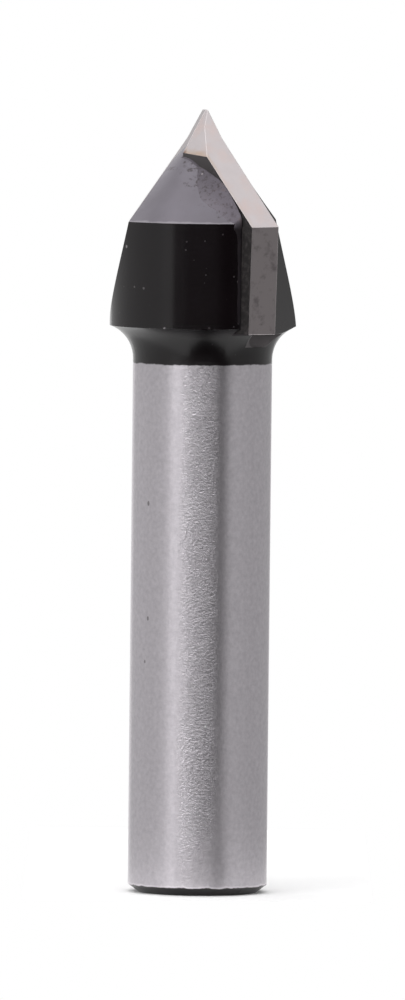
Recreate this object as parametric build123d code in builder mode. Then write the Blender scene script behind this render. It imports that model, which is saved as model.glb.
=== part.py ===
"""V-groove router bit with two brazed carbide blades, right-hand cutting.

The origin is the centre of the shank's end face and +Z runs to the point.
Blade 1 lies along +X with its rake face toward +Y. Blade 2 is the same blade
half a turn round the axis.
"""
import os
from math import cos, radians, sin, sqrt, tan

from build123d import *

os.makedirs("parts", exist_ok=True)

# Overall sizes, mm
overall_length = 45.0
shank_diameter = 8.0
head_diameter = 10.72
cutting_diameter = 12.7
cutting_length = 12.7
v_half_angle = 45.0

# Turned body
end_chamfer_radial = 0.60
end_chamfer_axial = 0.45
neck_fillet = 2.0
rim_above_foot = 0.27
cone_set_back = 0.84
cone_top_radius = 0.12

# Gullets: milled with a large wheel that runs out above the neck
wheel_radius = 35.0
wheel_above_point = 4.04
gullet_1_from_axis = 0.45
gullet_2_from_axis = 0.72
gullet_lean = 20.0

# Carbide blades
blade_thickness = 1.70
rake_off_centre = 0.03
blade_foot_inner = 3.20
knee_below_point = 3.40
corner_below_point = 6.54
back_taper = 0.21
side_relief = 0.38
flank_relief = 0.40

# The point, ground slimmer than the V and left slightly blunt
point_blunt = 0.17
point_width = 1.45
point_relief = 1.00
bevel_relief = 2.48
bevel_fall = 0.12

# Brazed seats, each opened below the blade by the end mill that cut it
braze = 0.08
pocket_depth = 0.73
pocket_behind_rake = 0.42
pocket_before_rake = 2.70
pocket_corner = 0.60
pocket_wall = 3.98

shank_radius = shank_diameter / 2
head_radius = head_diameter / 2
v_slope = tan(radians(v_half_angle))
rake_y = rake_off_centre
back_y = rake_y - blade_thickness
foot_z = overall_length - cutting_length
knee_z = overall_length - knee_below_point
corner_z = overall_length - corner_below_point
corner_x = sqrt((cutting_diameter / 2) ** 2 - rake_y**2)
edge_apex_z = corner_z + corner_x / v_slope
rim_z = foot_z + rim_above_foot
neck_z = rim_z - sqrt(neck_fillet**2 - (neck_fillet - head_radius + shank_radius) ** 2)
cone_base_z = edge_apex_z - cone_set_back - head_radius / v_slope
cone_top_z = edge_apex_z - cone_set_back - cone_top_radius / v_slope
past = overall_length

# The blank, turned in one piece: shank, neck, head and cone
with BuildPart() as blank:
    with BuildSketch(Plane.XZ):
        with BuildLine():
            Polyline(
                (0, 0),
                (shank_radius - end_chamfer_radial, 0),
                (shank_radius, end_chamfer_axial),
                (shank_radius, neck_z),
            )
            RadiusArc((shank_radius, neck_z), (head_radius, rim_z), neck_fillet)
            Polyline(
                (head_radius, rim_z),
                (head_radius, cone_base_z),
                (cone_top_radius, cone_top_z),
                (0, cone_top_z),
                (0, 0),
            )
        make_face()
    revolve(axis=Axis.Z)

lean = radians(gullet_lean)
floor_normal = Vector(cos(lean), sin(lean), 0)
wheel_height = Vector(0, 0, overall_length + wheel_above_point)


def gullet(from_axis):
    """The wheel's track, kept to the side that the rake face of blade 1 looks at."""
    wheel_plane = Plane(
        origin=floor_normal * (from_axis + wheel_radius) + wheel_height,
        x_dir=floor_normal,
        z_dir=(-sin(lean), cos(lean), 0),
    )
    with BuildPart() as track:
        with Locations(wheel_plane):
            Cylinder(wheel_radius, past)
        with Locations((0, rake_y, overall_length)):
            Box(
                past,
                past,
                past,
                align=(Align.CENTER, Align.MIN, Align.CENTER),
                mode=Mode.INTERSECT,
            )
    return track.part


# One seat: the blade's outline plus the braze, as deep as both
blade_inner_edge = [(0, overall_length + past), (0, knee_z), (blade_foot_inner, foot_z)]
with BuildPart() as seat:
    with BuildSketch(Plane.XZ.offset(-rake_y)):
        with BuildLine():
            Polyline(
                (-braze, overall_length + past),
                (-braze, knee_z),
                (blade_foot_inner - braze, foot_z - braze),
                (past, foot_z - braze),
                (past, overall_length + past),
                close=True,
            )
        make_face()
    extrude(amount=blade_thickness + braze)

# The pocket under the blade's foot, with the end mill's round corner
with BuildPart() as pocket:
    with Locations((pocket_wall, rake_y - pocket_behind_rake, foot_z - braze - pocket_depth)):
        Box(
            past,
            pocket_behind_rake + pocket_before_rake,
            pocket_depth,
            align=Align.MIN,
        )
    back_corner = pocket.edges().filter_by(Axis.X).group_by(Axis.Y)[0].sort_by(Axis.Z)[0]
    fillet(back_corner, pocket_corner)

# The two gullets were milled one after the other and differ a little in depth
with BuildPart() as gulleted_blank:
    add(blank.part)
    add(gullet(gullet_1_from_axis), mode=Mode.SUBTRACT)
    add(gullet(gullet_2_from_axis), rotation=(0, 0, 180), mode=Mode.SUBTRACT)

with BuildPart() as body:
    add(gulleted_blank.part)
    with PolarLocations(0, 2):
        add(seat.part, mode=Mode.SUBTRACT)
        add(pocket.part, mode=Mode.SUBTRACT)
body.part.label = "body"


def plane_through(a, b, c):
    """Plane through three points, its normal pointing up or away from the axis."""
    a, b, c = Vector(*a), Vector(*b), Vector(*c)
    normal = (b - a).cross(c - a).normalized()
    if normal.X + normal.Z < 0:
        normal = -normal
    return Plane(origin=a, x_dir=b - a, z_dir=normal)


# The faces ground on a blade. Each falls away behind its edge by its relief.
side_face = plane_through(
    (corner_x, rake_y, corner_z),
    (corner_x - side_relief, back_y, corner_z),
    (corner_x - back_taper, rake_y, foot_z),
)
flank_face = plane_through(
    (corner_x, rake_y, corner_z),
    (corner_x, back_y, corner_z - flank_relief),
    (0, rake_y, edge_apex_z),
)
point_face = plane_through(
    (point_blunt, rake_y, overall_length),
    (point_blunt, back_y, overall_length - point_relief),
    (point_width, rake_y, edge_apex_z - point_width / v_slope),
)
bevel_face = plane_through(
    (0, rake_y, overall_length),
    (0, back_y, overall_length - bevel_relief),
    (point_width, rake_y, overall_length - bevel_fall),
)


def ground_plate(*faces):
    """The carbide plate with each of the faces ground on it."""
    with BuildPart() as plate:
        with BuildSketch(Plane.XZ.offset(-rake_y)):
            with BuildLine():
                Polyline(
                    *blade_inner_edge,
                    (past, foot_z),
                    (past, overall_length + past),
                    close=True,
                )
            make_face()
        extrude(amount=blade_thickness)
        for face in faces:
            split(bisect_by=face, keep=Keep.BOTTOM)
    return plate.part


# The point stands above the V's flank, so the blade is the two grinds together
with BuildPart() as blade_1:
    add(ground_plate(side_face, flank_face))
    add(ground_plate(side_face, point_face))
    split(bisect_by=bevel_face, keep=Keep.BOTTOM)
blade_1.part.label = "blade_1"

with BuildPart() as blade_2:
    add(blade_1.part, rotation=(0, 0, 180))
blade_2.part.label = "blade_2"

# The braze fills the seat behind the blade, inside it and under its foot
with BuildPart() as seat_fill:
    add(seat.part)
    split(bisect_by=side_face, keep=Keep.BOTTOM)
    split(bisect_by=flank_face, keep=Keep.BOTTOM)
    with PolarLocations(0, 2):
        add(blade_1.part, mode=Mode.SUBTRACT)

with BuildPart() as braze_1:
    add(gulleted_blank.part)
    add(seat_fill.part, mode=Mode.INTERSECT)
braze_1.part.label = "braze_1"

# The two seats cross on the axis below the knee, where the second stops at the first
with BuildPart() as braze_2:
    add(gulleted_blank.part)
    add(seat_fill.part, rotation=(0, 0, 180), mode=Mode.INTERSECT)
    add(braze_1.part, mode=Mode.SUBTRACT)
braze_2.part.label = "braze_2"

for piece in (body, blade_1, blade_2, braze_1, braze_2):
    box = piece.part.bounding_box()
    print(piece.part.label, len(piece.part.solids()), round(piece.part.volume, 2), box.max)

export_step(body.part, "parts/body.step")
export_step(blade_1.part, "parts/blade_1.step")
export_step(blade_2.part, "parts/blade_2.step")
export_step(braze_1.part, "parts/braze_1.step")
export_step(braze_2.part, "parts/braze_2.step")
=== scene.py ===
# %% [markdown]
# # A v-groove router bit, from solids to a picture
#
# The bit is a steel bar turned on a lathe, with two plates of tungsten carbide brazed
# into slots at its head. The solids come finished from the CAD step, so this lesson
# gives them their surfaces, adds the braze that ran out of the joints, and lights them.
# Each `# %%` line starts a cell, as in a notebook.

# %% Load the solids
from math import cos, pi, radians, sin, sqrt

import bpy
from mathutils import Matrix, Vector


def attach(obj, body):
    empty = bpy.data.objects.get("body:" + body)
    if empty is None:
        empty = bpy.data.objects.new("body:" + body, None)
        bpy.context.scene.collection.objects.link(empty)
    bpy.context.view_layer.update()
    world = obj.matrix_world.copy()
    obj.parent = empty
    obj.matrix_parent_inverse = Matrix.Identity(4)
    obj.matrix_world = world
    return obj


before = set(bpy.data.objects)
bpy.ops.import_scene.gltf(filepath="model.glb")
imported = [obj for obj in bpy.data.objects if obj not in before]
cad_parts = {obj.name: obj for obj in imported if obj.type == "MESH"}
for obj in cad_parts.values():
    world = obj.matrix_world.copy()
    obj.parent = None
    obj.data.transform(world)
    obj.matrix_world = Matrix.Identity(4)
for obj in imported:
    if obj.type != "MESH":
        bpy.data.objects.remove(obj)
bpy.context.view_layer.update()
body, blade_1, blade_2 = (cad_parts[n] for n in ("body", "blade_1", "blade_2"))
braze_1, braze_2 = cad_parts["braze_1"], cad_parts["braze_2"]
MM = 0.001

# %% [markdown]
# ## The sizes that the surfaces need
#
# A finish stops where a tool stopped, so it is tied to a size of the real bit. The sizes
# could be read off the meshes face by face, but a list in millimetres is easier to check
# against a drawing. All heights are above the end of the shank. The seat's face, the
# blade's back and the pocket's middle are measured from the plane through the axis that
# the blades lie along.

# %% Sizes in millimetres
head_radius = 5.36
chamfer_top = 0.45
black_starts = 30.45
rim_height = 32.57
cone_base = 38.61
cone_apex = 43.97
seat_face = 1.75
blade_back = 1.67
pocket_wall = 3.98
pocket_middle, pocket_half_width = 1.15, 1.6
pocket_height, pocket_half_height = 31.86, 0.375
print("cone height", round(cone_apex - cone_base, 2), "mm for a radius of", head_radius, "mm")

# %% [markdown]
# ## The camera
#
# The bit stands upright, seen from a metre away with a long lens, a few degrees above the
# level. Blade 1 faces the camera with its back. A long lens keeps the sides of the shank
# parallel, as a photograph of a small tool does. The camera could be aimed with a
# constraint, but a matrix built from three directions holds the slight roll too.

# %% Aim the camera
camera_turn = radians(41.92)
camera_rise = radians(3.0)
camera_roll = radians(0.60)
camera_distance = 1.0
picture_height, pixels_in_mm = 1000, 17.405
shift_right, shift_up = 0.080, 0.046
frame_height = picture_height / pixels_in_mm * MM
aim = Vector((0, 0, 22.5 * MM))

to_camera = Vector((cos(camera_turn), -sin(camera_turn), 0))
to_right = Vector((sin(camera_turn), cos(camera_turn), 0))
back = to_camera * cos(camera_rise) + Vector((0, 0, sin(camera_rise)))
level_up = back.cross(to_right)
right = to_right * cos(camera_roll) + level_up * sin(camera_roll)
up = level_up * cos(camera_roll) - to_right * sin(camera_roll)

camera_data = bpy.data.cameras.new("camera")
camera_data.sensor_width = 36
camera_data.lens = camera_data.sensor_width * camera_distance / frame_height
camera_data.clip_start, camera_data.clip_end = 0.05, 20
camera = bpy.data.objects.new("camera", camera_data)
bpy.context.scene.collection.objects.link(camera)
off_centre = right * shift_right * MM + up * shift_up * MM
camera.matrix_world = Matrix.Translation(aim + back * camera_distance + off_centre) @ Matrix(
    (
        (right.x, up.x, back.x, 0),
        (right.y, up.y, back.y, 0),
        (right.z, up.z, back.z, 0),
        (0, 0, 0, 1),
    )
)
bpy.context.scene.camera = camera
bpy.context.scene.view_settings.view_transform = "Standard"
print("lens", round(camera_data.lens), "mm")

# %% [markdown]
# ## Helpers for materials
#
# Colours are picked on a screen as sRGB hex values, while Blender mixes light in linear
# values, so one function turns the first into the second. Another adds a node, with its
# settings and whatever is plugged into it, in one line. Two small ones start a material
# and put it on an object.

# %% Colour and node helpers
def linear(hex_colour):
    """The linear colour, with alpha, of an sRGB hex value such as '#808080'."""
    shares = [int(hex_colour[i : i + 2], 16) / 255 for i in (1, 3, 5)]
    return [s / 12.92 if s <= 0.04045 else ((s + 0.055) / 1.055) ** 2.4 for s in shares] + [1]


def add(tree, kind, plugs=None, **settings):
    """Adds a node. Each plug is a number, a colour, a socket, or a node's first output."""
    made = tree.nodes.new("ShaderNode" + kind)
    for name, value in settings.items():
        setattr(made, name, value)
    for key, value in (plugs or {}).items():
        if isinstance(key, str):
            socket = next(s for s in made.inputs if s.enabled and s.name == key)
        else:
            socket = made.inputs[key]
        if isinstance(value, bpy.types.Node):
            value = next(s for s in value.outputs if s.enabled)
        if isinstance(value, bpy.types.NodeSocket):
            tree.links.new(value, socket)
        else:
            socket.default_value = value
    return made


def new_material(name):
    """An empty node material, and its tree."""
    material = bpy.data.materials.new(name)
    material.use_nodes = True
    material.node_tree.nodes.clear()
    return material, material.node_tree


def wear(obj, material):
    """Gives the object this material and no other."""
    obj.data.materials.clear()
    obj.data.materials.append(material)


print("mid grey is", round(linear("#808080")[0], 3), "in linear light")

# %% [markdown]
# ## The floor
#
# A small tool is photographed on white card. The card is matt, so it keeps the bit's soft
# shadow, and a little glow of its own, where a camera or a reflection sees it, makes it
# white without more light falling on the steel. The card is small, because bare metal
# mirrors it, and a large one would make the foot of the shank brighter than the rest. In
# front of it lies a dark bench cloth, because black metal shows whatever lies before it.
# The cloth is a lozenge with a corner at the bit, so that only the front of the bit sees
# it, and the sides see the pale cards.

# %% White card floor
def lying_card(name, near, far, width, height, turn=0.0, lozenge=False):
    """A flat sheet from near to far before the bit, in metres, turned to the right."""
    bpy.ops.object.select_all(action="DESELECT")
    bpy.ops.mesh.primitive_grid_add(x_subdivisions=8, y_subdivisions=8, size=1)
    made = bpy.context.object
    made.name = name
    place = Matrix.Rotation(radians(turn), 4, "Z")
    place = place @ Matrix((to_right, -to_camera, Vector((0, 0, 1)))).transposed().to_4x4()
    place = place @ Matrix.Translation((0, -(near + far) / 2, height))
    shape = Matrix.Diagonal((width, far - near, 1, 1))
    if lozenge:
        shape = shape @ Matrix.Diagonal((sqrt(0.5), sqrt(0.5), 1, 1))
        shape = shape @ Matrix.Rotation(radians(45), 4, "Z")
    made.data.transform(place @ shape)
    return made


def seen_plainly(tree):
    """1 where the camera, a reflection or a view through glass meets the surface, else 0."""
    path = add(tree, "LightPath")
    seen = path.outputs["Is Camera Ray"]
    for rays in ("Is Glossy Ray", "Is Transmission Ray"):
        seen = add(tree, "Math", {0: seen, 1: path.outputs[rays]}, operation="MAXIMUM")
    return seen


card_back, card_front, card_width = -0.05, 0.007, 0.020
card_glow = 0.06
floor = lying_card("floor", card_back, card_front, card_width, 0)

card_material, tree = new_material("white card, matt")
seen = seen_plainly(tree)
glow_strength = add(tree, "Math", {0: seen, 1: card_glow}, operation="MULTIPLY")
card = add(tree, "BsdfDiffuse", {"Color": linear("#f2f2f2")})
glow = add(tree, "Emission", {"Strength": glow_strength})
both = add(tree, "AddShader", {0: card, 1: glow})
add(tree, "OutputMaterial", {"Surface": both})
wear(floor, card_material)
print("card reaches", card_front, "m before the bit and", -card_back, "m behind it")

# %% [markdown]
# ## Soft studio light
#
# Bare metal shows what stands round it more than the light that falls on it. The bit has
# a wide softbox overhead, a row of three key softboxes in front, the left one brightest,
# one behind to the left, a pale card on each side, and the dark of the room behind the
# camera. Lamps could be balls or spots, but an area lamp has an even face, so it gives the
# long, smooth bands that a ground shank shows. Light passes through an area lamp from
# behind, so each has a black housing, as a real one has.

# %% Dark cloth and softboxes
housing_gap = 0.01
room_material, tree = new_material("dark cloth, matt")
room = add(tree, "BsdfDiffuse", {"Color": linear("#161616")})
add(tree, "OutputMaterial", {"Surface": room})


def towards(turn, rise):
    """The direction at this turn to the right of the camera, and this rise, in degrees."""
    t, r = radians(turn), radians(rise)
    return (to_camera * cos(t) + to_right * sin(t)) * cos(r) + Vector((0, 0, sin(r)))


def dark_cloth(name, facing, distance, width, height, lift=0.0):
    """A dark sheet that faces the bit. The camera sees through it, reflections show it."""
    bpy.ops.object.select_all(action="DESELECT")
    bpy.ops.mesh.primitive_grid_add(x_subdivisions=4, y_subdivisions=4, size=1)
    made = bpy.context.object
    made.name = name
    turn = facing.to_track_quat("Z", "Y").to_matrix().to_4x4()
    middle = aim + facing * distance + Vector((0, 0, lift))
    made.data.transform(Matrix.Translation(middle) @ turn @ Matrix.Diagonal((width, height, 1, 1)))
    made.visible_camera = False
    wear(made, room_material)


def softbox(name, turn, rise, distance, width, height, brightness):
    """A housed area lamp that faces the bit. Brightness 1 is the white background's."""
    facing = towards(turn, rise)
    lamp = bpy.data.lights.new(name, "AREA")
    lamp.shape, lamp.size, lamp.size_y = "RECTANGLE", width, height
    lamp.energy = brightness * pi * width * height
    made = bpy.data.objects.new(name, lamp)
    bpy.context.scene.collection.objects.link(made)
    made.location = aim + facing * distance
    made.rotation_euler = facing.to_track_quat("Z", "Y").to_euler()
    made.visible_camera = False
    dark_cloth(name + " housing", facing, distance + housing_gap, width, height)


print("dark cloth reflects", round(linear("#161616")[0], 4), "of the light")

# %% [markdown]
# ## Placing the lamps
#
# The lamps are placed by looking along a mirror: each bright or dark band of the shank
# says which way its lamp stands. One could drag them about until the picture fits, but
# turns and rises round the bit in degrees are easier to change one at a time.

# %% Lamps and the dark side of the room
# Turn, rise, distance, width, height, brightness
softbox("overhead", 180, 89, 0.85, 2.4, 2.4, 1.30)
softbox("left rear", -142, 36, 0.62, 0.50, 0.35, 1.6)
softbox("key left", -45.5, 28, 0.95, 0.80, 0.45, 3.6)
softbox("key middle", -13.5, 28, 0.95, 0.31, 0.45, 2.1)
softbox("key right", 7.5, 28, 0.95, 0.41, 0.45, 2.2)
softbox("left card", -97, 0, 0.65, 2.20, 1.30, 0.56)
softbox("right card", 106, 0, 0.65, 2.20, 1.30, 0.45)
dark_cloth("dark room", towards(5, 0), 1.25, 2.6, 1.7, lift=0.35)
bench = lying_card("dark bench", card_front, 1.85, 1.30, -0.001, turn=8, lozenge=True)
bench.visible_camera = False
wear(bench, room_material)

# %% [markdown]
# ## The white background
#
# The background is plain white. A large white wall would do, but a world is simpler. It is
# white where the camera, a reflection or glass looks at it. To a matt surface it is only a
# quarter as strong, so that the lamps do the lighting and the card keeps its shadow.

# %% White world, dimmer as a light
world_light = 0.25
world = bpy.data.worlds.new("white studio")
world.use_nodes = True
tree = world.node_tree
tree.nodes.clear()
strength = add(tree, "MapRange", {"Value": seen_plainly(tree), "To Min": world_light})
sky = add(tree, "Background", {"Color": linear("#ffffff"), "Strength": strength})
add(tree, "OutputWorld", {"Surface": sky})
bpy.context.scene.world = world
print("world strength", world_light, "as a light, and 1 where it is seen")

# %% [markdown]
# ## The body: centreless-ground tool steel, part of it blackened
#
# The bar is ground between two wheels, which leaves very short marks round the shank.
# Along them the steel is smoother than across, so its gloss is stretched up and down.
# The head, the neck and the chamfer at the end are blackened. Then the cone was ground
# bare again with the blades. One material does all of it, with masks by height and by
# the way a face looks, because the finish is on one piece of steel. The masks could be
# painted, but a mask by height moves with a changed size. Positions are turned to
# millimetres first, so a pattern's scale is how many of its spots lie in a millimetre.

# %% Steel: where each finish lies
steel, tree = new_material("tool steel, centreless ground and blackened")
place = add(tree, "TexCoord").outputs["Object"]
in_mm = add(tree, "VectorMath", {0: place, 1: (1000, 1000, 1000)}, operation="MULTIPLY")
axes = add(tree, "SeparateXYZ", {0: in_mm})
height = axes.outputs["Z"]
surface = add(tree, "NewGeometry")
looks = add(tree, "SeparateXYZ", {0: surface.outputs["True Normal"]})

# The edge of the black is ragged by about a tenth of a millimetre. The pattern averages a
# half, so it lifts the heights by half of this depth, and the limits below allow for it
ragged_depth = 0.22
ragged = add(tree, "TexNoise", {"Vector": in_mm, "Scale": 1.6, "Detail": 4.0})
ragged_height = add(
    tree, "Math", {0: ragged, 1: ragged_depth, 2: height}, operation="MULTIPLY_ADD"
)
black_limits = {"From Min": black_starts + 0.15, "From Max": black_starts + 0.07}
below_black = add(
    tree, "MapRange", {"Value": ragged_height, **black_limits}, interpolation_type="SMOOTHSTEP"
)
chamfer_limits = {"From Min": chamfer_top + 0.10, "From Max": chamfer_top + 0.16}
above_chamfer = add(
    tree, "MapRange", {"Value": ragged_height, **chamfer_limits}, interpolation_type="SMOOTHSTEP"
)
on_shank = add(tree, "Math", {0: below_black, 1: above_chamfer}, operation="MULTIPLY")

# The cone is the only face of the head that looks half upwards
upward_limits = {"From Min": 0.55, "From Max": 0.6}
looks_up = add(tree, "MapRange", {"Value": looks.outputs["Z"], **upward_limits})
high_enough = add(tree, "Math", {0: height, 1: cone_base - 0.3}, operation="GREATER_THAN")
on_cone = add(tree, "Math", {0: looks_up, 1: high_enough}, operation="MULTIPLY")
print("black from", black_starts, "to", cone_base, "mm, and below", chamfer_top, "mm")

# %% [markdown]
# ## Splashes beside the joint
#
# Braze and flux splashed the cone beside each blade's back. The splashes could be modelled
# as drops, but they are stains with no height, so they are a noise that is let through
# only near the joint, and drifts from thick to thin along it.

# %% Steel: splashes on the cone
splash_full, splash_ends = 0.4, 1.3
splash_top, clear_above = 41.6, 42.2
y_side = add(tree, "Math", {0: axes.outputs["Y"]}, operation="SIGN")
from_seat = add(tree, "Math", {0: axes.outputs["Y"]}, operation="ABSOLUTE")
from_seat = add(tree, "Math", {0: from_seat, 1: seat_face}, operation="SUBTRACT")
past_axis = add(tree, "Math", {0: axes.outputs["X"], 1: y_side}, operation="MULTIPLY")
from_joint = add(tree, "Math", {0: from_seat, 1: past_axis}, operation="MAXIMUM")
beside_limits = {"From Min": splash_ends, "From Max": splash_full}
beside_joint = add(tree, "MapRange", {"Value": from_joint, **beside_limits})
below_top = add(
    tree, "MapRange", {"Value": height, "From Min": clear_above, "From Max": splash_top}
)
beside_joint = add(tree, "Math", {0: beside_joint, 1: below_top}, operation="MULTIPLY")

splash_spots = add(
    tree, "TexNoise", {"Vector": in_mm, "Scale": 3.2, "Detail": 5.0, "Roughness": 0.7}
)
splash_level = add(
    tree, "Math", {0: beside_joint, 1: 0.22, 2: splash_spots}, operation="MULTIPLY_ADD"
)
splash_drift = add(tree, "TexNoise", {"Vector": in_mm, "Scale": 0.9, "Detail": 1.0})
splash_level = add(
    tree, "Math", {0: splash_drift, 1: 0.5, 2: splash_level}, operation="MULTIPLY_ADD"
)
splash_limits = {"From Min": 0.95, "From Max": 1.03, "To Max": 0.75}
splash = add(tree, "MapRange", {"Value": splash_level, **splash_limits})
print("splashes reach", splash_ends, "mm from the seat, up to", clear_above, "mm")

# %% [markdown]
# ## Rubbed edges, specks and chips
#
# Where the black is chipped or rubbed through, bare steel shows. Handling rubs sharp edges
# first, and the Bevel node finds those: it gives a normal as if the edge were rounded, and
# where that differs from the true one there is an edge. Small specks are scattered by a
# cell pattern. The few largest chips are single events, so they are placed one by one.

# %% Steel: where it is bare through the black
edge_round = 0.05 * MM
rounded = add(tree, "Bevel", {"Radius": edge_round}, samples=6)
same_way = add(
    tree, "VectorMath", {0: rounded, 1: surface.outputs["True Normal"]}, operation="DOT_PRODUCT"
)
edge_limits = {"From Min": 0.995, "From Max": 0.93}
at_edge = add(tree, "MapRange", {"Value": same_way.outputs["Value"], **edge_limits})
rub_spots = add(tree, "TexNoise", {"Vector": in_mm, "Scale": 4.5, "Detail": 4.0})
rubbed = add(tree, "MapRange", {"Value": rub_spots, "From Min": 0.56, "From Max": 0.66})
edge_wear = add(tree, "Math", {0: at_edge, 1: rubbed}, operation="MULTIPLY")

# A cell has a speck only if its red is high, and the redder it is, the larger the speck
speck_cells = add(tree, "TexVoronoi", {"Vector": in_mm, "Scale": 2.2})
speck_kind = add(tree, "SeparateColor", {0: speck_cells.outputs["Color"]})
speck_sizes = {"From Min": 0.60, "To Min": -0.02, "To Max": 0.10}
speck_reach = add(tree, "MapRange", {"Value": speck_kind.outputs["Red"], **speck_sizes})
speck_reach = add(
    tree, "Math", {0: beside_joint, 1: 0.06, 2: speck_reach}, operation="MULTIPLY_ADD"
)
speck_distance = speck_cells.outputs["Distance"]
specks = add(tree, "Math", {0: speck_distance, 1: speck_reach}, operation="LESS_THAN")
specks = add(tree, "Math", {0: specks, 1: speck_kind.outputs["Green"]}, operation="MULTIPLY")
specks = add(tree, "Math", {0: specks, 1: 0.45}, operation="MULTIPLY")
bare_spots = add(tree, "Math", {0: edge_wear, 1: specks}, operation="MAXIMUM")

# Each chip: degrees round the head, height and radius in mm, and how bare it is
head_chips = [
    (-18.8, 36.71, 0.060, 0.9), (-18.5, 36.34, 0.040, 0.4), (-18.3, 37.51, 0.10, 0.25),
    (-66.2, 32.60, 0.065, 0.8), (-38.1, 32.66, 0.045, 0.4), (-97.5, 37.19, 0.085, 1.0),
    (-53.0, 37.11, 0.045, 0.35), (-52.4, 37.58, 0.040, 0.25), (-41.2, 37.63, 0.040, 0.3),
    (-81.5, 34.85, 0.070, 0.35), (-89.4, 34.91, 0.055, 0.3), (-30.2, 38.01, 0.05, 0.2),
]
chip_edge, chip_raggedness = 0.045, 0.06
for angle, chip_height, reach, bareness in head_chips:
    spot = (head_radius * cos(radians(angle)), head_radius * sin(radians(angle)), chip_height)
    away = add(tree, "VectorMath", {0: in_mm, 1: spot}, operation="DISTANCE").outputs["Value"]
    away = add(
        tree, "Math", {0: ragged, 1: chip_raggedness, 2: away}, operation="MULTIPLY_ADD"
    )
    chip_limits = {"From Min": reach + chip_edge, "From Max": reach, "To Max": bareness}
    chip = add(tree, "MapRange", {"Value": away, **chip_limits})
    bare_spots = add(tree, "Math", {0: bare_spots, 1: chip}, operation="MAXIMUM")

# A painted highlight, a near-white line, runs along the foot of the cone and above the end
# chamfer, where these edges catch the light
foot_limits = {"From Min": cone_base + 0.22, "From Max": cone_base + 0.15, "To Max": 0.15}
at_cone_foot = add(tree, "MapRange", {"Value": ragged_height, **foot_limits})
at_cone_foot = add(tree, "Math", {0: at_cone_foot, 1: on_cone}, operation="MULTIPLY")
end_limits = {"From Min": chamfer_top + 0.25, "From Max": chamfer_top + 0.20, "To Max": 0.6}
at_end_edge = add(tree, "MapRange", {"Value": ragged_height, **end_limits})
at_end_edge = add(tree, "Math", {0: at_end_edge, 1: on_shank}, operation="MULTIPLY")
edge_highlight_paint = add(tree, "Math", {0: at_cone_foot, 1: at_end_edge}, operation="MAXIMUM")
print("chips placed by hand", len(head_chips))

# %% [markdown]
# ## The colours of the steel
#
# The black has a faint brown haze and the bare cone a faint cloud. The ground shank has a
# mottle a quarter of a millimetre across, left by the grinding, and a few pits: some dark,
# and some with a near-white floor, a painted glint. Each colour could be one value, but
# real steel is never that even, so each is a mix of two near ones.

# %% Steel: colours
haze = add(tree, "TexNoise", {"Vector": in_mm, "Scale": 0.55, "Detail": 5.0})
black_pair = {"A": linear("#0c0709"), "B": linear("#140e11")}
black = add(tree, "Mix", {"Factor": haze, **black_pair}, data_type="RGBA")
black = add(
    tree, "Mix", {"Factor": bare_spots, "A": black, "B": linear("#a39da0")}, data_type="RGBA"
)
mottle_per_mm = 4.0
mottle = add(
    tree, "TexNoise", {"Vector": in_mm, "Scale": mottle_per_mm, "Detail": 3.0, "Roughness": 0.6}
)
ground_pair = {"A": linear("#b8b3b9"), "B": linear("#e2dde2")}
ground = add(tree, "Mix", {"Factor": mottle, **ground_pair}, data_type="RGBA")
cone_pair = {"A": linear("#706c72"), "B": linear("#7e7a82")}
cone_grey = add(tree, "Mix", {"Factor": haze, **cone_pair}, data_type="RGBA")
cone_grey = add(
    tree, "Mix", {"Factor": splash, "A": cone_grey, "B": linear("#4a4445")}, data_type="RGBA"
)

# Pits are a little longer up the shank than round it. Again only some cells have one
pit_place = add(tree, "Mapping", {"Vector": in_mm, "Scale": (1.0, 1.0, 0.6)})
pit_cells = add(tree, "TexVoronoi", {"Vector": pit_place, "Scale": 0.9})
pit_kind = add(tree, "SeparateColor", {0: pit_cells.outputs["Color"]})
pit_sizes = {"From Min": 0.45, "To Max": 0.09}
pit_reach = add(tree, "MapRange", {"Value": pit_kind.outputs["Red"], **pit_sizes})
pits = add(tree, "Math", {0: pit_cells.outputs["Distance"], 1: pit_reach}, operation="LESS_THAN")
pits = add(tree, "Math", {0: pits, 1: 0.6}, operation="MULTIPLY")
# Some pits get a near-white colour: a painted glint, standing in for light caught on the pit's
# floor
pit_glint_painted = add(tree, "Math", {0: pit_kind.outputs["Green"], 1: 0.7}, operation="GREATER_THAN")
pit_dark_and_glint_pair = {"A": linear("#55504f"), "B": linear("#ffffff")}
pit_dark_and_glint_colour = add(tree, "Mix", {"Factor": pit_glint_painted, **pit_dark_and_glint_pair}, data_type="RGBA")

ground = add(tree, "Mix", {"Factor": pits, "A": ground, "B": pit_dark_and_glint_colour}, data_type="RGBA")
colour = add(tree, "Mix", {"Factor": on_shank, "A": black, "B": ground}, data_type="RGBA")
colour = add(tree, "Mix", {"Factor": on_cone, "A": colour, "B": cone_grey}, data_type="RGBA")
# Last, the painted highlight along the cone's foot and above the end chamfer
colour = add(tree, "Mix", {"Factor": edge_highlight_paint, "A": colour, "B": linear("#efe9ee")}, data_type="RGBA")
print("mottle", 1 / mottle_per_mm, "mm across")

# %% [markdown]
# ## The milled pocket under each blade
#
# An end mill opened each seat below the blade's foot and left the steel there grey and
# dull. It could be a material of its own, but the pocket is part of the body's mesh, so
# it is one more mask: above and below the pocket's middle, each side of it, and outside
# its wall.

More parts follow.
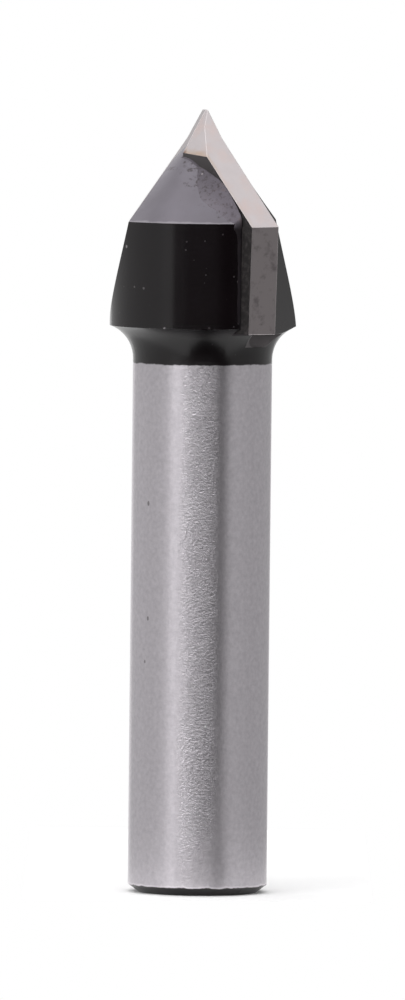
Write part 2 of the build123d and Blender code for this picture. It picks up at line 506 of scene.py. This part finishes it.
# %% Steel: the pocket
x_side = add(tree, "Math", {0: axes.outputs["X"]}, operation="SIGN")
before_seat = add(tree, "Math", {0: axes.outputs["Y"], 1: x_side}, operation="MULTIPLY")
milled = add(
    tree,
    "Math",
    {0: before_seat, 1: pocket_middle, 2: pocket_half_width},
    operation="COMPARE",
)
from_axis = add(tree, "Math", {0: axes.outputs["X"]}, operation="ABSOLUTE")
beyond_wall = add(tree, "Math", {0: from_axis, 1: pocket_wall - 0.02}, operation="GREATER_THAN")
at_pocket = add(
    tree, "Math", {0: height, 1: pocket_height, 2: pocket_half_height}, operation="COMPARE"
)
milled = add(tree, "Math", {0: milled, 1: beyond_wall}, operation="MULTIPLY")
milled = add(tree, "Math", {0: milled, 1: at_pocket}, operation="MULTIPLY")
milled_pair = {"A": linear("#5c5658"), "B": linear("#7d7779")}
milled_grey = add(tree, "Mix", {"Factor": ragged, **milled_pair}, data_type="RGBA")
colour = add(tree, "Mix", {"Factor": milled, "A": colour, "B": milled_grey}, data_type="RGBA")
print("pocket", 2 * pocket_half_height, "mm high at", pocket_height, "mm")

# %% [markdown]
# ## Gloss and grinding marks
#
# Blackened steel is smooth, and a little less so in the neck. Ground steel is duller. The
# grinding marks catch the light only in one strip down the shank, and there in patches,
# so their depth has a mask of its own. Real marks are a few hundredths of a millimetre
# apart, too fine to show, so these are as coarse as they need to be. They could be modelled,
# but a bump is enough for marks that never show in outline.

# %% Steel: gloss, marks and shader
bare = add(tree, "Math", {0: on_shank, 1: on_cone}, operation="MAXIMUM")
bare = add(tree, "Math", {0: bare, 1: bare_spots}, operation="MAXIMUM")
on_neck = add(tree, "Math", {0: height, 1: rim_height - 0.04}, operation="LESS_THAN")
rough = add(tree, "Mix", {"Factor": on_neck, "A": 0.20, "B": 0.28}, data_type="FLOAT")
rough = add(tree, "Mix", {"Factor": on_shank, "A": rough, "B": 0.36}, data_type="FLOAT")
rough = add(tree, "Mix", {"Factor": on_cone, "A": rough, "B": 0.42}, data_type="FLOAT")

mark_length, mark_pitch, patch_size = 0.155, 0.125, 1.2
mark_scale = (1 / mark_length, 1 / mark_length, 1 / mark_pitch)
marks_place = add(tree, "Mapping", {"Vector": in_mm, "Scale": mark_scale})
mark_shape = {"Scale": 1.0, "Detail": 3.0, "Roughness": 0.6, "Distortion": 0.5}
marks = add(tree, "TexNoise", {"Vector": marks_place, **mark_shape})
patches = add(tree, "TexNoise", {"Vector": in_mm, "Scale": 1 / patch_size, "Detail": 1.0})
patch_limits = {"From Min": 0.35, "From Max": 0.6, "To Min": 0.75}
patchy = add(tree, "MapRange", {"Value": patches, **patch_limits})

# A radial gradient is 0.5 along +X and changes by one in a full turn
strip_turn, strip_half_width, strip_full = 43 / 360, 18 / 360, 12 / 360
angle_round = add(tree, "TexGradient", {"Vector": in_mm}, gradient_type="RADIAL")
from_strip = add(tree, "Math", {0: angle_round, 1: 0.5 - strip_turn}, operation="SUBTRACT")
from_strip = add(tree, "Math", {0: from_strip}, operation="ABSOLUTE")
strip_limits = {"From Min": strip_half_width, "From Max": strip_full, "To Min": 0.25}
in_strip = add(tree, "MapRange", {"Value": from_strip, **strip_limits})
patchy = add(tree, "Math", {0: patchy, 1: in_strip}, operation="MULTIPLY")
mark_depth = add(tree, "Mix", {"Factor": on_shank, "A": 0.12, "B": patchy}, data_type="FLOAT")
bump = {"Strength": mark_depth, "Distance": 0.032 * MM, "Height": marks, "Normal": rounded}
relief = add(tree, "Bump", bump)
round_shank = add(tree, "Tangent", direction_type="RADIAL", axis="Z")
shader = add(
    tree,
    "BsdfPrincipled",
    {
        "Base Color": colour,
        "Metallic": bare,
        "Roughness": rough,
        "Normal": relief,
        "Anisotropic": 0.75,
        "Anisotropic Rotation": 0.25,
        "Tangent": round_shank,
    },
)
add(tree, "OutputMaterial", {"Surface": shader})
wear(body, steel)
print("steel nodes", len(tree.nodes), "with marks", mark_pitch, "mm apart")

# %% [markdown]
# ## The blades: sintered tungsten carbide, diamond ground
#
# Carbide is pressed from powder and sintered, then ground with a diamond wheel, which
# leaves it bright but a little cloudy. The back was never ground: it went through the
# brazing fire, so it is nearly black. The heat also left a straw-coloured line where the
# flank meets the back. The two blades are the same plate half a turn apart, so the
# material is made twice, the second time with its pattern and its back turned round. One
# material with a mask by side would do as well, but it would be twice as long.

# %% Tungsten carbide for a blade
straw_top, straw_fades = 42.6, 41.0
burnt_corner = 42.5
grey_above, black_below = 42.2, 40.4


def carbide(name, turned):
    """Ground carbide for the blade whose back looks along -Y, or along +Y if turned."""
    side = -1 if turned else 1
    material, tree = new_material(name)
    place = add(tree, "TexCoord").outputs["Object"]
    to_mm = (1000 * side, 1000 * side, 1000)
    own = add(tree, "Mapping", {"Vector": place, "Scale": to_mm})
    axes = add(tree, "SeparateXYZ", {0: own})
    surface = add(tree, "NewGeometry")
    looks = add(tree, "SeparateXYZ", {0: surface.outputs["True Normal"]})
    outward = add(tree, "Math", {0: looks.outputs["Y"], 1: -side}, operation="MULTIPLY")
    on_back = add(tree, "Math", {0: outward, 1: 0.97}, operation="GREATER_THAN")
    on_flank = add(tree, "Math", {0: looks.outputs["Z"], 1: 0.35}, operation="GREATER_THAN")

    # Ground faces are lightly clouded. The side is smudged and painted darker, as painted shade
    # for the dark it faces, and the rake face is polished and painted brighter, a painted
    # highlight
    cloud = add(tree, "TexNoise", {"Vector": own, "Scale": 1.1, "Detail": 5.0})
    cloud_pair = {"A": linear("#b2abac"), "B": linear("#bcb5b6")}
    colour = add(tree, "Mix", {"Factor": cloud, **cloud_pair}, data_type="RGBA")
    on_side = add(tree, "Math", {0: looks.outputs["X"], 1: side}, operation="MULTIPLY")
    on_side = add(tree, "Math", {0: on_side, 1: 0.9}, operation="GREATER_THAN")
    smudges = add(
        tree, "TexNoise", {"Vector": own, "Scale": 1.4, "Detail": 6.0, "Roughness": 0.65}
    )
    smudges = add(tree, "MapRange", {"Value": smudges, "From Min": 0.52, "From Max": 0.68})
    # The side's darker colours are smudges and painted shade
    side_smudge_and_shade_pair = {"A": linear("#989192"), "B": linear("#7c7577")}
    side_smudge_and_shade = add(tree, "Mix", {"Factor": smudges, **side_smudge_and_shade_pair}, data_type="RGBA")
    colour = add(tree, "Mix", {"Factor": on_side, "A": colour, "B": side_smudge_and_shade}, data_type="RGBA")
    # The rake face's near-white colour is a painted highlight
    on_rake = add(tree, "Math", {0: outward, 1: -0.97}, operation="LESS_THAN")
    rake_highlight_pair = {"A": colour, "B": linear("#e4dedf")}
    colour = add(tree, "Mix", {"Factor": on_rake, **rake_highlight_pair}, data_type="RGBA")

    # Heat tints: straw along the back edge of the flank, and a faint blush in clouds
    from_back = add(tree, "Math", {0: axes.outputs["Y"], 1: blade_back}, operation="ADD")
    straw_noise = add(tree, "TexNoise", {"Vector": own, "Scale": 1.7, "Detail": 3.0})
    straw_edge = add(
        tree, "Math", {0: straw_noise, 1: -0.35, 2: from_back}, operation="MULTIPLY_ADD"
    )
    straw_limits = {"From Min": 0.08, "From Max": -0.15, "To Max": 0.5}
    straw = add(tree, "MapRange", {"Value": straw_edge, **straw_limits})
    hot_limits = {"From Min": straw_fades, "From Max": straw_top, "To Min": 0.25}
    hottest = add(tree, "MapRange", {"Value": axes.outputs["Z"], **hot_limits})
    straw = add(tree, "Math", {0: straw, 1: hottest}, operation="MULTIPLY")
    straw = add(tree, "Math", {0: straw, 1: on_flank}, operation="MULTIPLY")
    straw_pair = {"A": colour, "B": linear("#a88a64")}
    colour = add(tree, "Mix", {"Factor": straw, **straw_pair}, data_type="RGBA")
    blush_cloud = add(tree, "TexNoise", {"Vector": own, "Scale": 0.9, "Detail": 3.0})
    blush_limits = {"From Min": 0.48, "From Max": 0.70, "To Max": 0.3}
    blush = add(tree, "MapRange", {"Value": blush_cloud, **blush_limits})
    blush = add(tree, "Math", {0: blush, 1: on_flank}, operation="MULTIPLY")
    blush_pair = {"A": colour, "B": linear("#c2a79e")}
    colour = add(tree, "Mix", {"Factor": blush, **blush_pair}, data_type="RGBA")

    # The corner where the back meets the cone was burnt brown
    corner = (0.0, -blade_back, burnt_corner)
    from_corner = add(tree, "VectorMath", {0: own, 1: corner}, operation="DISTANCE")
    burnt_limits = {"From Min": 0.30, "From Max": 0.08, "To Max": 0.8}
    burnt = add(tree, "MapRange", {"Value": from_corner.outputs["Value"], **burnt_limits})
    burnt_pair = {"A": colour, "B": linear("#5c3a2c")}
    colour = add(tree, "Mix", {"Factor": burnt, **burnt_pair}, data_type="RGBA")

    # The back: black fire scale with grey spots, and plain grey towards the point
    fire_spots = add(
        tree, "TexNoise", {"Vector": own, "Scale": 4.0, "Detail": 6.0, "Roughness": 0.7}
    )
    fire_limits = {"From Min": 0.45, "From Max": 0.70}
    scale_black = add(tree, "MapRange", {"Value": fire_spots, **fire_limits})
    point_limits = {"From Min": black_below, "From Max": grey_above}
    near_point = add(tree, "MapRange", {"Value": axes.outputs["Z"], **point_limits})
    scale_pair = {"A": linear("#1d1a1a"), "B": linear("#453f40")}
    scaled = add(tree, "Mix", {"Factor": scale_black, **scale_pair}, data_type="RGBA")
    point_pair = {"A": scaled, "B": linear("#464243")}
    fired = add(tree, "Mix", {"Factor": near_point, **point_pair}, data_type="RGBA")
    colour = add(tree, "Mix", {"Factor": on_back, "A": colour, "B": fired}, data_type="RGBA")
    metal = add(tree, "Mix", {"Factor": on_back, "A": 1.0, "B": 0.15}, data_type="FLOAT")
    rough = add(tree, "Mix", {"Factor": on_back, "A": 0.30, "B": 0.6}, data_type="FLOAT")

    # A painted glint, a near-white colour, lies along the keen edges, except round the back, and
    # the wheel's marks run along the grind
    rounded = add(tree, "Bevel", {"Radius": edge_round}, samples=6)
    true_normal = surface.outputs["True Normal"]
    same_way = add(tree, "VectorMath", {0: rounded, 1: true_normal}, operation="DOT_PRODUCT")
    edge_glint_limits = {"From Min": 0.998, "From Max": 0.95, "To Max": 0.8}
    edge_glint_paint = add(tree, "MapRange", {"Value": same_way.outputs["Value"], **edge_glint_limits})
    off_back = add(tree, "Math", {0: on_back, 1: -1.0, 2: 1.0}, operation="MULTIPLY_ADD")
    edge_glint_paint = add(tree, "Math", {0: edge_glint_paint, 1: off_back}, operation="MULTIPLY")
    edge_glint_pair = {"A": colour, "B": linear("#ece6e7")}
    colour = add(tree, "Mix", {"Factor": edge_glint_paint, **edge_glint_pair}, data_type="RGBA")
    wheel_marks = add(tree, "Mapping", {"Vector": own, "Scale": (2.0, 9.0, 2.0)})
    marks = add(tree, "TexNoise", {"Vector": wheel_marks, "Scale": 1.0, "Detail": 4.0})
    bump = {"Strength": 0.8, "Distance": 0.002 * MM, "Height": marks, "Normal": rounded}
    relief = add(tree, "Bump", bump)
    finish = {"Base Color": colour, "Metallic": metal, "Roughness": rough, "Normal": relief}
    shader = add(tree, "BsdfPrincipled", finish)
    add(tree, "OutputMaterial", {"Surface": shader})
    return material


wear(blade_1, carbide("tungsten carbide, diamond ground", turned=False))
wear(blade_2, carbide("tungsten carbide, diamond ground, turned", turned=True))
print("blades wear", blade_1.data.materials[0].name, "and", blade_2.data.materials[0].name)

# %% [markdown]
# ## The braze: silver alloy, blackened by flux
#
# Silver braze is pale brass when it is clean. Here the torch and the flux have darkened
# most of it, and it shows as dark and grey blotches with a brown tint. The blotches are
# about a quarter of a millimetre across. The film in the seats and the run-out braze could
# differ, but they are the same metal, so they wear the same material.

# %% Silver braze
blotches_per_mm = 4.0
braze_metal, tree = new_material("silver braze, fluxed and heat-tinted")
place = add(tree, "TexCoord").outputs["Object"]
in_mm = add(tree, "VectorMath", {0: place, 1: (1000, 1000, 1000)}, operation="MULTIPLY")
axes = add(tree, "SeparateXYZ", {0: in_mm})
blotch_shape = {"Scale": blotches_per_mm, "Detail": 6.0, "Roughness": 0.72}
blotches = add(tree, "TexNoise", {"Vector": in_mm, **blotch_shape})
share = add(tree, "MapRange", {"Value": blotches, "From Min": 0.34, "From Max": 0.50})
soot_pair = {"A": linear("#3f393b"), "B": linear("#645f66")}
colour = add(tree, "Mix", {"Factor": share, **soot_pair}, data_type="RGBA")
warm = add(tree, "TexNoise", {"Vector": in_mm, "Scale": 1.3, "Detail": 2.0})
warm = add(tree, "MapRange", {"Value": warm, "From Min": 0.58, "From Max": 0.78, "To Max": 0.4})
colour = add(tree, "Mix", {"Factor": warm, "A": colour, "B": linear("#6b5138")}, data_type="RGBA")

# Out on the cone the grinding wheel took the soot off it, and the grey is the cone's own
from_blade = add(tree, "Math", {0: axes.outputs["Y"]}, operation="ABSOLUTE")
wiped_limits = {"From Min": seat_face + 0.35, "From Max": seat_face + 1.15}
cleaned = add(tree, "MapRange", {"Value": from_blade, **wiped_limits})
wiped_pair = {"A": linear("#524c4f"), "B": linear("#736e75")}
wiped = add(tree, "Mix", {"Factor": share, **wiped_pair}, data_type="RGBA")
colour = add(tree, "Mix", {"Factor": cleaned, "A": colour, "B": wiped}, data_type="RGBA")

# Down the head it is nearly as black as the steel beside it, with a few bright specks
head_limits = {"From Min": cone_base + 0.05, "From Max": cone_base - 0.35, "To Max": 0.75}
down_the_head = add(tree, "MapRange", {"Value": axes.outputs["Z"], **head_limits})
head_pair = {"A": colour, "B": linear("#231e1f")}
colour = add(tree, "Mix", {"Factor": down_the_head, **head_pair}, data_type="RGBA")
speck_cells = add(tree, "TexVoronoi", {"Vector": in_mm, "Scale": 2.6})
speck_kind = add(tree, "SeparateColor", {0: speck_cells.outputs["Color"]})
speck_sizes = {"From Min": 0.5, "To Max": 0.16}
speck_reach = add(tree, "MapRange", {"Value": speck_kind.outputs["Red"], **speck_sizes})
speck_distance = speck_cells.outputs["Distance"]
specks = add(tree, "Math", {0: speck_distance, 1: speck_reach}, operation="LESS_THAN")
specks = add(tree, "Math", {0: specks, 1: 0.7}, operation="MULTIPLY")
speck_pair = {"A": colour, "B": linear("#a09a9c")}
colour = add(tree, "Mix", {"Factor": specks, **speck_pair}, data_type="RGBA")

lumps = add(tree, "Bump", {"Strength": 0.9, "Distance": 0.012 * MM, "Height": blotches})
metal = add(tree, "MapRange", {"Value": share, "To Min": 0.6})
finish = {"Base Color": colour, "Metallic": metal, "Roughness": 0.5, "Normal": lumps}
shader = add(tree, "BsdfPrincipled", finish)
add(tree, "OutputMaterial", {"Surface": shader})
wear(braze_1, braze_metal)
wear(braze_2, braze_metal)
print("braze blotches", 1 / blotches_per_mm, "mm")

# %% [markdown]
# ## The braze that ran out of the joint
#
# When the braze melts, some of it runs out and freezes as a fillet in the corner between
# the steel and the blade's back. Half way down the cone it fills the whole step, and above
# and below that it is a thin bead. It wets the ground cone better than the blade, so it is
# wider on the cone than it is high on the blade. A tube along a curve would be even all
# the way, and this isn't, so a flat ring that leans from the cone to the blade is extruded
# from station to station down the joint and resized at each, as one would by hand. First
# come the stations.

# %% Stations down the joint
def on_cone_at(across, before):
    """The point of the cone this far across the blade and before the axis, in mm."""
    return Vector((across, -before, cone_apex - sqrt(across**2 + before**2)))


# Each station on the cone is its distance across the blade and the fillet's height there,
# and each one on the head is its height above the end and the fillet's height on the blade
cone_reaches = [
    (0.30, 0.03), (0.80, 0.06), (1.30, 0.14), (1.70, 0.24), (2.10, 0.36), (2.50, 0.48),
    (2.90, 0.61), (3.30, 0.65), (3.65, 0.62), (3.95, 0.55), (4.25, 0.49), (4.60, 0.42),
    (4.90, 0.35),
]
head_reaches = [
    (38.50, 0.17), (38.0, 0.09), (37.5, 0.07), (36.9, 0.09), (36.2, 0.05), (35.5, 0.08),
    (34.8, 0.05), (34.1, 0.08), (33.4, 0.05), (32.8, 0.06),
]
corner_across = sqrt(head_radius**2 - seat_face**2)
stations = [(on_cone_at(across, seat_face), reach) for across, reach in cone_reaches]
stations += [(Vector((corner_across, -seat_face, z)), reach) for z, reach in head_reaches]
print("bead stations", len(stations))

# %% [markdown]
# ## The ring's lean
#
# The ring is shaped once, where the fillet is fullest. Its toe lies on the cone and its
# crest on the blade, and it leans from one to the other. It is a quarter wider than that,
# so that its edges are buried in the steel and the blade and only its flat top shows. It
# could be turned by eye, but two points of the real fillet give the lean exactly.

# %% Lean and width of the ring, for a fillet one millimetre high
fullest_across, toe_across, toe_before_seat, crest_height = 3.3, 3.05, 1.05, 0.62
overlap, flatness, ring_shift = 1.25, 0.045, 0.12

seam_run = (on_cone_at(4.0, seat_face) - on_cone_at(2.0, seat_face)).normalized()
fullest = on_cone_at(fullest_across, seat_face)
toe = on_cone_at(toe_across, seat_face + toe_before_seat) - fullest
crest = Vector((-seam_run.z, 0, seam_run.x)) * crest_height
lean = (crest - toe).normalized()
outward = seam_run.cross(lean).normalized()
if outward.z < 0:
    outward = -outward
ring_turn = Matrix((lean, outward, lean.cross(outward))).transposed()
middle_of_ring = (toe + crest) / 2 / crest_height
half_width = (crest - toe).length / 2 / crest_height * overlap
middle_of_ring -= outward * half_width * flatness
middle_of_ring -= lean * half_width * ring_shift
print("fillet", round((crest - toe).length, 2), "mm from toe to crest")

# %% [markdown]
# ## The bead
#
# The ring starts at the first station and is extruded down the joint. Nearer the axis the
# cone falls away faster, so the ring is sunk deeper there. A subdivision smooths the
# stations into one run, and a displacement makes it lumpy as frozen metal is. It could be
# sculpted, but the texture gives the same lumps each time. The second bead is a copy of
# the first, half a turn round the axis.

# %% Extrude and resize the bead
sink_rate = 0.06
sunk = [max(0, fullest_across - spot.x) * sink_rate * outward for spot, _ in stations]
places = [
    (spot + middle_of_ring * reach - sink) * MM for (spot, reach), sink in zip(stations, sunk)
]
reaches = [reach for _, reach in stations]

bpy.ops.object.select_all(action="DESELECT")
bpy.ops.mesh.primitive_circle_add(
    vertices=12, radius=reaches[0] * half_width * MM, fill_type="NGON"
)
bead_1 = bpy.context.object
bead_1.name = "braze_bead_1"
flatten = Matrix.Diagonal((1, flatness, 1, 1))
bead_1.data.transform(Matrix.Translation(places[0]) @ ring_turn.to_4x4() @ flatten)
bpy.ops.object.mode_set(mode="EDIT")
bpy.ops.mesh.select_all(action="SELECT")
for i in range(1, len(places)):
    bpy.ops.mesh.extrude_region_move(TRANSFORM_OT_translate={"value": places[i] - places[i - 1]})
    growth = reaches[i] / reaches[i - 1]
    bpy.ops.transform.resize(value=(growth, growth, growth), center_override=places[i])
bpy.ops.mesh.select_all(action="SELECT")
bpy.ops.mesh.normals_make_consistent(inside=False)
bpy.ops.object.mode_set(mode="OBJECT")
print("bead faces before smoothing", len(bead_1.data.polygons))

# %% Smooth it, make it lumpy, and copy it
lump_size, lump_height = 0.30, 0.035
smooth = bead_1.modifiers.new("smooth", "SUBSURF")
smooth.levels = smooth.render_levels = 2
grain = bpy.data.textures.new("bead grain", "CLOUDS")
grain.noise_scale = lump_size * MM
lumpy = bead_1.modifiers.new("lumpy", "DISPLACE")
lumpy.texture, lumpy.strength, lumpy.mid_level = grain, lump_height * MM, 0.5
lumpy.texture_coords = "LOCAL"
for modifier in ("smooth", "lumpy"):
    bpy.ops.object.modifier_apply(modifier=modifier)
bpy.ops.object.shade_smooth()
wear(bead_1, braze_metal)

bead_2 = bead_1.copy()
bead_2.data = bead_1.data.copy()
bead_2.name = "braze_bead_2"
bpy.context.scene.collection.objects.link(bead_2)
bead_2.data.transform(Matrix.Rotation(pi, 4, "Z"))
for piece in (bead_1, bead_2):
    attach(piece, "root")
print("bead triangles", sum(len(p.vertices) - 2 for p in bead_1.data.polygons))
